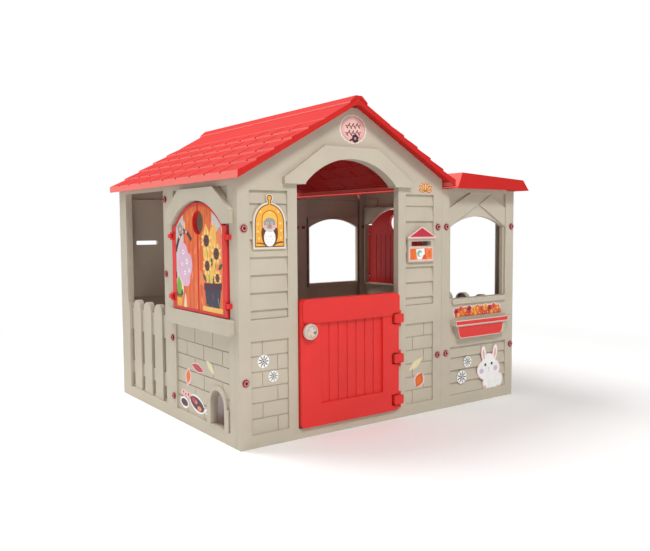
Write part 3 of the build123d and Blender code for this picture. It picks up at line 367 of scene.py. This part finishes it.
def sticker(name, wall, proud, shapes, body="house", within=None, holes=()):
    """One printed film: shapes is a list of (ink, outline), painted in order, cut to within."""
    cuts = ([within] if within else []) + list(holes)
    points, loops = [], []
    for outline in [outline for _, outline in shapes] + cuts:
        start = len(points)
        points += [Vector(p) for p in anticlockwise(outline)]
        loops.append(list(range(start, len(points))))
    verts, _, faces, _, _, owners = delaunay_2d_cdt(points, [], loops, 1, 1e-4)
    inks = list(dict.fromkeys(ink for ink, _ in shapes))
    mesh_faces, inks_used = [], []
    for face, owner in zip(faces, owners):
        painted = [n for n in owner if n < len(shapes)]
        middle = sum((verts[n] for n in face), Vector((0, 0))) / len(face)
        if not painted or (within and not inside(middle, within)):
            continue
        if any(inside(middle, hole) for hole in holes):
            continue
        mesh_faces.append(face)
        inks_used.append(inks.index(shapes[max(painted)][0]))
    mesh = bpy.data.meshes.new(name)
    bm = bmesh.new()
    spots = [bm.verts.new(on_wall(wall, *v, proud + LIFT)) for v in verts]
    bm.verts.ensure_lookup_table()
    outward = on_wall(wall, 0, 0, 1) - on_wall(wall, 0, 0, 0)
    for face, ink in zip(mesh_faces, inks_used):
        made = bm.faces.new([spots[n] for n in face])
        made.material_index = ink
        made.normal_update()
        if made.normal.dot(outward) < 0:
            made.normal_flip()
    loose = [v for v in bm.verts if not v.link_faces]
    bmesh.ops.delete(bm, geom=loose, context="VERTS")
    bmesh.ops.solidify(bm, geom=bm.faces[:], thickness=-FILM / CAD_MM)
    bm.to_mesh(mesh)
    bm.free()
    for ink in inks:
        mesh.materials.append(INKS[ink])
    film = bpy.data.objects.new(name, mesh)
    scene.collection.objects.link(film)
    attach(film, body)
    return film


# ---- the pictures ----
def daisy(u, v, radius, petals=9):
    """White daisy with a dark eye; dark slits part its petals."""
    shapes = [("white", wavy(u, v, radius, radius, petals, 0.10))]
    for n in range(petals):
        a = math.radians(360 * n / petals)
        slit = [(u + radius * r * math.cos(a), v + radius * r * math.sin(a)) for r in (0.24, 0.86)]
        shapes.append(("ink", ribbon(slit, radius * 0.15)))
    shapes.append(("ink", ellipse(u, v, radius * 0.15, radius * 0.15, 0, 14)))
    return shapes


def blossom(u, v, radius, outer, inner, petals=5, turn=18):
    """Round-petalled flower."""
    shapes = []
    for n in range(petals):
        a = math.radians(360 * n / petals + turn)
        middle = radius * 0.55
        petal = (u + middle * math.cos(a), v + middle * math.sin(a))
        shapes.append((outer, ellipse(*petal, radius * 0.46, radius * 0.46, 0, 14)))
    shapes.append((inner, ellipse(u, v, radius * 0.34, radius * 0.34, 0, 14)))
    return shapes


def veined_leaf(u, v, long, wide, turn, border, fill, vein):
    """Leaf with a border and a midrib."""
    spin = math.radians(turn)
    tip = (u + 0.4 * long * math.cos(spin), v + 0.4 * long * math.sin(spin))
    tail = (2 * u - tip[0], 2 * v - tip[1])
    return [
        (border, leaf(u, v, long + 8, wide + 9, turn)),
        (fill, leaf(u, v, long, wide, turn)),
        (vein, ribbon([tail, tip], 1.8)),
    ]


def bird_cage(u, low, spring, crown, ball):
    """Bird in a round-topped cage."""
    half = 54
    neck = [(u - 6, crown - 8), (u + 6, crown - 8), (u + 6, ball), (u - 6, ball)]
    shapes = [("rim", arched(u, half + 1, low, spring, crown)), ("rim", neck)]
    shapes.append(("rim", ellipse(u, ball, 12, 12)))
    for ink, inset in (("bark", 4.2), ("amber", 7.2)):
        shapes.append((ink, arched(u, half - inset, low + inset + 1, spring, crown - inset)))
        shapes.append((ink, ellipse(u, ball, 13.4 - inset, 13.4 - inset)))
        shapes.append((ink, box(u - 8.4 + inset * 0.8, u + 8.4 - inset * 0.8, crown - 12, ball)))
    shapes.append(("umber", arched(u + 0.5, 27, 612, 668, 693)))
    shapes.append(("gold", arched(u + 0.5, 24.5, 608, 667, 690.5)))
    dots = (
        (-39, 653), (-40, 632), (-36, 612), (36, 655), (39, 634), (37, 612), (0, 686), (-30, 688), (30, 689),
    )
    for dot_u, dot_v in dots:
        shapes.append(("lemon", ellipse(u + dot_u, dot_v, 3.4, 3.4, 0, 12)))
    shapes.append(("bark", ellipse(u - 17, 616, 10, 27, 12)))
    shapes.append(("bark", ellipse(u + 17, 616, 10, 27, -12)))
    shapes.append(("white", ellipse(u, 613, 19.5, 25)))
    for n in range(3):
        for m in range(n + 2):
            shapes.append(("shell", ellipse(u - 5 * (n + 1) + 10 * m, 601 + 8 * n, 1.6, 1.6, 0, 8)))
    shapes.append(("smoke", ellipse(u, 650, 22, 20)))
    shapes.append(("grey", ellipse(u, 655, 20, 16)))
    for side in (-1, 1):
        shapes.append(("blush", ellipse(u + side * 14, 645.5, 6.5, 4.5)))
        shapes.append(("white", ellipse(u + side * 8, 655, 3.6, 3.6, 0, 14)))
        shapes.append(("ink", ellipse(u + side * 8, 655, 2.2, 2.2, 0, 12)))
    shapes.append(("orange", leaf(u, 647, 10, 7, 90)))
    shapes.append(("bark", ribbon(curve((u - 45, 598), (u - 24, 600), (u - 12, 590)), 3.4)))
    shapes.append(("bark", ribbon(curve((u + 45, 600), (u + 24, 601), (u + 12, 590)), 4.4)))
    return shapes


def letter_box(u):
    """Crimson roof, pale front and an envelope, round the open slot."""
    roof = [(u - 64, 603), (u + 66, 603), (u + 66, 607), (u, 644), (u - 64, 607)]
    roof_film = [("shell", roof), ("crimson", [(u - 55, 608), (u + 57, 608), (u, 638.5)])]
    front = [("shell", box(u - 57, u + 55, 526.5, 573.5)), ("coral", box(u - 51, u + 51, 531.5, 569))]
    front += [
        ("orange", box(u - 51, u - 26, 531.5, 569)),
        ("white", [(u - 25, 566), (u + 13, 569), (u + 19, 534), (u - 17, 531.5)]),
        ("teal", ellipse(u - 8, 552, 12, 11, 30)),
        ("white", ellipse(u - 3, 549, 7.5, 5.5, 30)),
        ("flame", [(u + 2, 531.5), (u + 21, 531.5), (u + 21, 552), (u + 9, 545)]),
        ("rust", ribbon([(u + 22, 531.5), (u + 20, 569)], 3)),
        ("orange", ellipse(u + 37, 550, 9, 13)),
    ]
    return roof_film, front


def lotus(u, v):
    """Open lotus, its petals fanned from the foot."""
    foot = v - 15
    pairs = ((8, 34, 13), (33, 37, 14), (61, 35, 15))
    petals = [(t, long, wide) for turn, long, wide in pairs for t in (turn, 180 - turn)] + [(90, 34, 16)]
    shapes = []
    for ink, more in (("shell", 4), ("umber", 0)):
        for turn, long, wide in petals:
            a = math.radians(turn)
            spot = (u + long / 2 * math.cos(a), foot + long / 2 * math.sin(a))
            shapes.append((ink, leaf(*spot, long + more, wide + more, turn)))
            if ink == "umber":
                shapes.append(("peach", leaf(*spot, long - 7, wide - 6, turn)))
    return shapes


def emblem(u, v):
    """Round floral badge."""
    shapes = [
        ("rim", wavy(u, v, 53, 45, 18, 0.05)),
        ("rose", ellipse(u, v, 47, 39.5)),
        ("blush", ellipse(u, v, 44.5, 37)),
        ("shell", ellipse(u - 4, v + 4, 34, 26)),
    ]
    for row, bow in ((15, 8), (-7, 8)):
        start, end = (u - 31, v + row - 4), (u + 31, v + row)
        shapes.append(("bark", ribbon(curve(start, (u, v + row - bow), end), 2.2)))
        for n in range(7):
            at = curve(start, (u, v + row - bow), end, 8)[n + 1]
            tilt = 55 if n % 2 else -50
            lift = 5 if n % 2 else -5
            shapes.append(("bark", leaf(at[0], at[1] + lift, 12, 5.5, tilt)))
    shapes += blossom(u + 8, v - 28, 14, "plum", "grey", 6)
    shapes.append(("plum", leaf(u - 9, v - 33, 14, 6, 25)))
    shapes.append(("rose", leaf(u + 25, v - 24, 12, 6, -25)))
    return shapes


def rabbit(u, v):
    """Plain white rabbit, sitting."""
    body = ellipse(u + 12, v - 50, 42, 30)
    head = ellipse(u, v, 60, 40)
    brow = ellipse(u, v + 22, 36, 36)
    ears = [ellipse(u - 27, v + 60, 11, 28, 8), ellipse(u + 34, v + 60, 11, 28, -8)]
    tail = ellipse(u + 58, v - 44, 17, 24)
    shapes = [("shell", grown(o, 3.5)) for o in [body, head, brow, tail] + ears]
    shapes += [("white", o) for o in [body, head, brow, tail] + ears]
    for side, ear in ((8, u - 27), (-8, u + 34)):
        shapes.append(("blush", ellipse(ear, v + 58, 5.5, 20, side)))
    shapes += [("ink", ellipse(u - 18, v + 18, 5.4, 5.4)), ("ink", ellipse(u + 17, v + 20, 5.4, 5.4))]
    shapes += [("lilac", ellipse(u - 38, v - 4, 11, 9.5)), ("lilac", ellipse(u + 37, v, 11, 9.5))]
    shapes.append(("blush", ellipse(u + 1, v + 4, 4.5, 3)))
    shapes.append(("grey", ribbon([(u + 1, v + 1), (u + 1, v - 9)], 1.6)))
    shapes.append(("smoke", ribbon(curve((u - 8, v - 78), (u + 4, v - 60), (u + 6, v - 42)), 1.8)))
    shapes.append(("blush", ellipse(u - 20, v - 66, 9, 6)))
    return shapes


def flower_row(u0, u1, low):
    """A strip of garden flowers that shows above the planter."""
    count = 11
    step = (u1 - u0) / (count - 1)
    inks = (("crimson", "plum"), ("flame", "crimson"), ("amber", "orange"), ("orange", "gold"))
    heads = []
    for n in range(count):
        rise = 20 if n in (0, count - 1) else 22 + 4 * (n % 2)
        heads.append((u0 + n * step, low + rise))
    shapes = [("white", box(u0 - 12, u1 + 12, low, low + 22))]
    shapes += [("white", ellipse(*spot, 15.5, 15, 0, 18)) for spot in heads]
    shapes.append(("flame", box(u0 - 9, u1 + 9, low, low + 17)))
    for n, spot in enumerate(heads):
        outer, inner = inks[(n // 2 + n) % len(inks)]
        shapes += blossom(*spot, 13.5, outer, inner, 6, 30 * n)
        shapes += blossom(spot[0] + step / 2, low + 8, 8.5, inks[(n + 2) % 4][0], "peach", 5, 20 * n)
        shapes.append((inks[(n + 1) % 4][0], leaf(spot[0] + 2, spot[1] - 9, 15, 5, 80)))
    return shapes


def banner(low_u0, low_u1, top_u0, top_u1, low, top, corner):
    """Red film with a pale border and cut corners."""
    shapes = []
    for ink, inset in (("shell", 0), ("red", 2.2)):
        c = corner - inset * 0.4
        v0, v1 = low + inset, top - inset
        left, right = low_u0 + inset, low_u1 - inset
        outline = [(left + c, v0), (right - c, v0), (right - c * 0.2, v0 + c * 0.7)]
        outline += [(top_u1 - inset, v1), (top_u0 + inset, v1), (left + c * 0.2, v0 + c * 0.7)]
        shapes.append((ink, outline))
    return shapes


def knob_face(u, v):
    """Mottled disc with a keyhole spot."""
    shapes = [("grey", ellipse(u, v, 18.3, 18.3)), ("sand", ellipse(u, v, 16.2, 16.2))]
    shapes.append(("smoke", ellipse(u + 2, v + 7, 9, 6, 30)))
    for n in range(7):
        a = math.radians(51 * n)
        spot = (u + 11.5 * math.cos(a), v + 11.5 * math.sin(a))
        shapes.append(("grey" if n % 2 else "lilac", leaf(*spot, 9, 4, 51 * n + 40)))
    shapes.append(("blush", ellipse(u - 1, v + 1, 5, 4)))
    shapes.append(("ink", ellipse(u + 11.5, v - 3, 4.4, 4.4, 0, 16)))
    return shapes


def berries():
    """Dark berries and a fallen sprig by the little door of the left wall."""
    spots = (
        ("shell", 545, 100, 22, 11, 0), ("shell", 580, 96, 24, 12, 0), ("white", 708, 68, 15, 9, 0),
        ("plum", 546, 68, 26, 12, -5), ("plum", 640, 80, 50, 20, -12), ("crimson", 622, 87, 20, 9, -15),
        ("rose", 634, 84, 8, 6, 0), ("coral", 656, 68, 15, 8, 0), ("crimson", 540, 102, 5, 4, 0),
        ("crimson", 556, 97, 5, 4, 0), ("crimson", 577, 99, 6, 5, 0), ("crimson", 590, 93, 5, 4, 0),
        ("moss", 711, 67, 6, 4, 0), ("plum", 685, 74, 8, 4, 0),
    )
    fruit = [ellipse(*spot) for ink, *spot in spots[3:5]]
    shapes = [("white", grown(outline, 7)) for outline in fruit]
    shapes += [(ink, ellipse(*spot)) for ink, *spot in spots]
    return shapes


SCENE_HALF, SCENE_LOW, SCENE_SPRING, SCENE_CROWN = 161, 389, 643, 712.2
HOLE_V, HOLE_R = 659, 37.6
SEAM = 3.4


def garden(u, near):
    """Garden plants about window centre u. near is the way (+1 or -1) that the sunflower leaf lies."""
    def at(du, v):
        return u + near * du, v

    def blob(ink, du, v, half_u, half_v, turn=0):
        return (ink, ellipse(*at(du, v), half_u, half_v, near * turn))

    def patch(ink, points):
        return (ink, [at(*p) for p in points])

    shapes = [("orange", segment_arch(u, SCENE_HALF + 6, SCENE_LOW - 4, SCENE_SPRING, SCENE_CROWN + 6))]
    for du in (-96, -60, -34, 22, 52, 84, 112):
        board = ((-7, 380), (6, 380), (10, 560), (-1, 720), (-12, 560))
        shapes.append(patch("flame", [(du + step, v) for step, v in board]))
    for n in range(26):
        du = -95 + (n * 53) % 190
        v = 398 + (n * 97) % 310
        shapes.append(("coral" if n % 3 else "rust", leaf(*at(du, v), 34, 11, 90 + 12 * (n % 5 - 2))))
    # pale sky in both shoulders of the arch
    far_sky = [(-170, 380), (-150, 380), (-150, 560), (-104, 600), (-104, 720), (-170, 720)]
    shapes.append(patch("smoke", far_sky))
    shapes.append(patch("smoke", [(170, 620), (118, 634), (94, 652), (94, 720), (170, 720)]))
    # far leaf: pink bloom under a dark bough, with a pear in a pot
    shapes.append(blob("smoke", -139, 520, 26, 92))
    puffs = (
        (-104, 560, 30), (-76, 526, 34), (-98, 500, 38), (-122, 538, 26), (-84, 486, 26), (-112, 582, 16),
    )
    for du, v, half in puffs:
        shapes.append(blob("pink", du, v, half, half * 1.15))
    for du, v in ((-72, 528), (-104, 548), (-94, 500)):
        shapes.append(blob("lilac", du, v, 13, 17, 20))
    for n, (du, v) in enumerate(((-82, 536), (-108, 566), (-96, 500), (-66, 508), (-118, 526))):
        shapes += blossom(*at(du, v), 10 - n, "white", "magenta", 5, 40 * n)
    bough = curve(at(-162, 566), at(-116, 676), at(-46, 604), 14)
    shapes.append(("bark", ribbon(bough, 15)))
    shapes.append(("plum", ribbon(bough, 9)))
    for n in (4, 7, 10):
        shapes.append(("blush", ellipse(*bough[n], 7, 6)))
    shapes += blossom(*at(-128, 640), 20, "grey", "blush", 5)
    shapes.append(("cream", leaf(*at(-96, 652), 34, 11, 90 + near * 12)))
    shapes.append(patch("plum", [(-166, 500), (-158, 500), (-150, 440), (-158, 440)]))
    shapes.append(blob("cream", -142, 446, 34, 38))
    shapes.append(blob("moss", -141, 434, 29, 16))
    shapes.append(blob("green", -142, 452, 19, 25))
    shapes.append(blob("green", -145, 470, 11, 13))
    shapes.append(patch("amber", [(-164, 418), (-120, 418), (-128, 384), (-160, 384)]))
    shapes.append(patch("umber", [(-164, 418), (-120, 418), (-120, 424), (-164, 424)]))
    shapes.append(patch("cream", [(-112, 384), (-84, 384), (-92, 430), (-98, 434)]))
    # near leaf: a bunch of sunflowers in a dark pot
    for n in range(24):
        spot = at(28 + (n * 41) % 126, 486 + (n * 59) % 150)
        lean = 0.5 * near * (spot[0] - at(88, 0)[0])
        shapes.append(("gold" if n % 3 else "coral", leaf(*spot, 62, 30, 90 - lean)))
    heads = ((58, 604, 1.0), (122, 566, 0.95), (62, 528, 0.85), (128, 494, 0.7))
    for du, v, _ in heads:
        shapes.append(("green", ribbon([at(du, v), at(92 + (du - 92) * 0.3, 458)], 4)))
    for du, v in ((44, 492), (104, 486), (148, 528), (92, 540)):
        shapes.append(("moss", leaf(*at(du, v), 34, 15, 90 - near * (du - 92))))
    for du, v, size in heads:
        for n in range(16):
            a = 2 * math.pi * n / 16
            reach = 25 * size
            spot = at(du + reach * math.cos(a), v + reach * math.sin(a))
            turn = math.degrees(math.atan2(math.sin(a), near * math.cos(a)))
            shapes.append(("lemon" if n % 2 else "amber", leaf(*spot, 24 * size, 11 * size, turn)))
        shapes.append(blob("bark", du, v, 19 * size, 19 * size))
        shapes.append(blob("plum", du, v, 15 * size, 15 * size))
        for n in range(7):
            spot = at(du + 9 * size * math.cos(0.9 * n), v + 9 * size * math.sin(0.9 * n))
            shapes.append(("umber", ellipse(*spot, 1.8, 1.8, 0, 8)))
    shapes.append(patch("navy", [(44, 456), (150, 462), (138, 398), (56, 394)]))
    shapes.append(patch("plum", [(38, 474), (156, 480), (154, 460), (40, 454)]))
    for n in range(9):
        spot = at(62 + (n * 37) % 76, 408 + (n * 23) % 40)
        shapes.append(("magenta" if n % 2 else "grey", ellipse(*spot, 2.4, 2.8, 0, 8)))
    shapes.append(patch("gold", [(28, 404), (170, 404), (170, 380), (28, 380)]))
    return shapes


# how far each face that carries a film stands out from its wall frame, in millimetres
FACE = {
    "wall": 0, "brick": -6, "boards": -0.9, "plaque": 1.5, "lid": 11, "letter_box": 7,
    "planter_rim": 29, "planter": 23, "knob": 29.8, "shutter": 3.5, "bolt": 5,
}


def shutter_scene(wall, centre, near, near_body, far_body, tag):
    """Both leaves' films, parted at the meeting edge and cut round the hand hole."""
    hole = ellipse(centre, HOLE_V, HOLE_R, HOLE_R, 0, 32)
    arch = segment_arch(centre, SCENE_HALF, SCENE_LOW, SCENE_SPRING, SCENE_CROWN)
    for side, body, leaf_name in ((near, near_body, "front"), (-near, far_body, "rear")):
        gap = sorted((centre + side * SEAM, centre - side * 2 * SCENE_HALF))
        sticker(
            f"{tag}_picture_{leaf_name}", wall, FACE["shutter"], garden(centre, near), body,
            within=arch, holes=[hole, box(*gap, 0, 900)],
        )


WINDOW_C, PLAQUE_C, MAILBOX_C = 685.5, 105.5, 701
roof_film, front_film = letter_box(MAILBOX_C)
for side in ("front", "rear"):
    sticker(side + "_cage_picture", side, FACE["plaque"], bird_cage(PLAQUE_C, 581, 655, 715, 728))
    sticker(side + "_letter_box_roof", side, FACE["lid"], roof_film)
    sticker(side + "_envelope_picture", side, FACE["letter_box"], front_film)
sticker("front_badge", "front", FACE["wall"], emblem(415, 947))
sticker("front_lotus", "front", FACE["wall"], lotus(726, 776))
sticker("front_daisies", "front", FACE["brick"], daisy(84, 252, 19) + daisy(117.5, 204, 16.5))
sticker(
    "front_leaves", "front", FACE["brick"],
    veined_leaf(688, 173, 70, 19, 31, "sand", "straw", "cream")
    + [("shell", ellipse(705, 116, 25, 25)), ("rust", leaf(705, 116, 52, 36, 62))]
    + [("orange", leaf(704, 115, 38, 25, 62))],
)
sticker("annex_daisies", "annex", FACE["boards"], daisy(134, 153, 20) + daisy(104.5, 100, 24))
sticker("annex_rabbit", "annex", FACE["boards"], rabbit(247, 112))
sticker("annex_flowers", "annex", FACE["wall"], flower_row(74, 292, 319))
sticker("planter_rim_print", "annex", FACE["planter_rim"], banner(42, 318, 42, 318, 293, 310, 6))
sticker("planter_front_print", "annex", FACE["planter"], banner(62, 292, 57, 300, 246, 290, 12))
KNOB_AT, KEYHOLE = (232, 329), ellipse(243.5, 326, 2.7, 2.7, 0, 14)
sticker("knob_print", "front", FACE["knob"], knob_face(*KNOB_AT), body="knob", holes=[KEYHOLE])
sticker("left_berries", "left", FACE["brick"], berries())
sticker(
    "left_leaves", "left", FACE["brick"],
    veined_leaf(648, 198, 82, 22, -8, "shell", "crimson", "magenta")
    + veined_leaf(737, 214, 62, 18, -34, "sand", "straw", "cream")
    + [("shell", leaf(578, 158, 70, 46, 75)), ("orange", leaf(578, 160, 50, 30, 75))],
)
shutter_scene("left", WINDOW_C, 1, "left_front_leaf", "left_rear_leaf", "left")
shutter_scene("right", WINDOW_C, -1, "right_front_leaf", "right_rear_leaf", "right")

# ---- painted highlights: pale rings round the bolt heads, and on them round the six-sided sockets ----
BOLT_V = (196, 641)
SIDE_BOLTS = ((434, 488), (434, 739), (478, 78), (476, 276))
BOLTS = {
    "front": [(u, v) for u in (20, 785) for v in BOLT_V],
    "rear": [(u, v) for u in (20, 785) for v in BOLT_V],
    "annex": [(u, v) for u in (21, 364) for v in BOLT_V],
    "left": SIDE_BOLTS,
    "right": SIDE_BOLTS,
}


def bolt_films(kind, proud, outer, inner, inner_steps):
    """A pale pink band painted about every bolt of each wall: a painted highlight."""
    for wall, spots in BOLTS.items():
        rings = [("ring", ellipse(*spot, outer, outer, 0, 24)) for spot in spots]
        middles = [ellipse(*spot, inner, inner, 0, inner_steps) for spot in spots]
        sticker(f"{wall}_bolt_{kind}", wall, proud, rings, holes=middles)


bolt_films("rings", FACE["wall"], 12.8, 10.7, 24)
bolt_films("faces", FACE["bolt"], 7.6, 5.6, 6)

# ---- stage ----
BACKDROP_R = 40
FLOOR_FADE = (1.35, 2.6)
SKY = 0.40


def make_stage():
    """Paper floor that runs out into a plain white surround."""
    bpy.ops.mesh.primitive_plane_add(size=2 * BACKDROP_R)
    floor = bpy.context.object
    floor.name = "floor"
    mat, tree, shader = nodes_of("floor_paper")
    link = tree.links.new
    coords = tree.nodes.new("ShaderNodeTexCoord")
    cloud = new(tree, "ShaderNodeTexNoise", Scale=0.6, Detail=2.0)
    link(coords.outputs["Object"], cloud.inputs["Vector"])
    paper = ramp(tree, cloud.outputs["Fac"], [(0.0, (0.93, 0.92, 0.91)), (1.0, (0.96, 0.95, 0.94))])
    link(paper, shader.inputs["Base Color"])
    shader.inputs["Roughness"].default_value = 0.9
    shader.inputs["Specular IOR Level"].default_value = 0.0
    away = tree.nodes.new("ShaderNodeVectorMath")
    away.operation = "LENGTH"
    link(coords.outputs["Object"], away.inputs[0])
    fade = new(tree, "ShaderNodeMapRange", From_Min=FLOOR_FADE[0], From_Max=FLOOR_FADE[1])
    fade.interpolation_type = "SMOOTHSTEP"
    link(away.outputs["Value"], fade.inputs["Value"])
    glow = new(tree, "ShaderNodeEmission", Strength=1.0)
    blend = tree.nodes.new("ShaderNodeMixShader")
    link(fade.outputs["Result"], blend.inputs[0])
    link(shader.outputs[0], blend.inputs[1])
    link(glow.outputs[0], blend.inputs[2])
    link(blend.outputs[0], tree.nodes["Material Output"].inputs["Surface"])
    floor.data.materials.append(mat)

    bpy.ops.mesh.primitive_uv_sphere_add(radius=BACKDROP_R, segments=48, ring_count=24)
    surround = bpy.context.object
    surround.name = "surround"
    white = bpy.data.materials.new("surround_white")
    white.use_nodes = True
    white.node_tree.nodes.clear()
    shine = new(white.node_tree, "ShaderNodeEmission", Strength=1.0)
    end = white.node_tree.nodes.new("ShaderNodeOutputMaterial")
    white.node_tree.links.new(shine.outputs[0], end.inputs["Surface"])
    surround.data.materials.append(white)
    surround.visible_diffuse = False
    surround.visible_glossy = False
    surround.visible_transmission = False
    surround.visible_shadow = False
    world = bpy.data.worlds.new("studio")
    scene.world = world
    world.use_nodes = True
    back = world.node_tree.nodes["Background"]
    back.inputs["Color"].default_value = (1, 1, 1, 1)
    back.inputs["Strength"].default_value = SKY


def area_light(name, at, aim, size, power, colour=(1, 1, 1)):
    data = bpy.data.lights.new(name, "AREA")
    data.shape, data.size, data.energy, data.color = "DISK", size, power, colour
    light = bpy.data.objects.new(name, data)
    scene.collection.objects.link(light)
    light.location = at
    light.rotation_euler = (Vector(aim) - Vector(at)).to_track_quat("-Z", "Y").to_euler()


make_camera()
make_stage()
area_light("rear_key", (-1.4, 2.0, 4.6), (0, 0, 0.4), 3.4, 225)
area_light("front_key", (-1.0, -3.9, 4.0), (0, -0.3, 0.4), 1.4, 140)
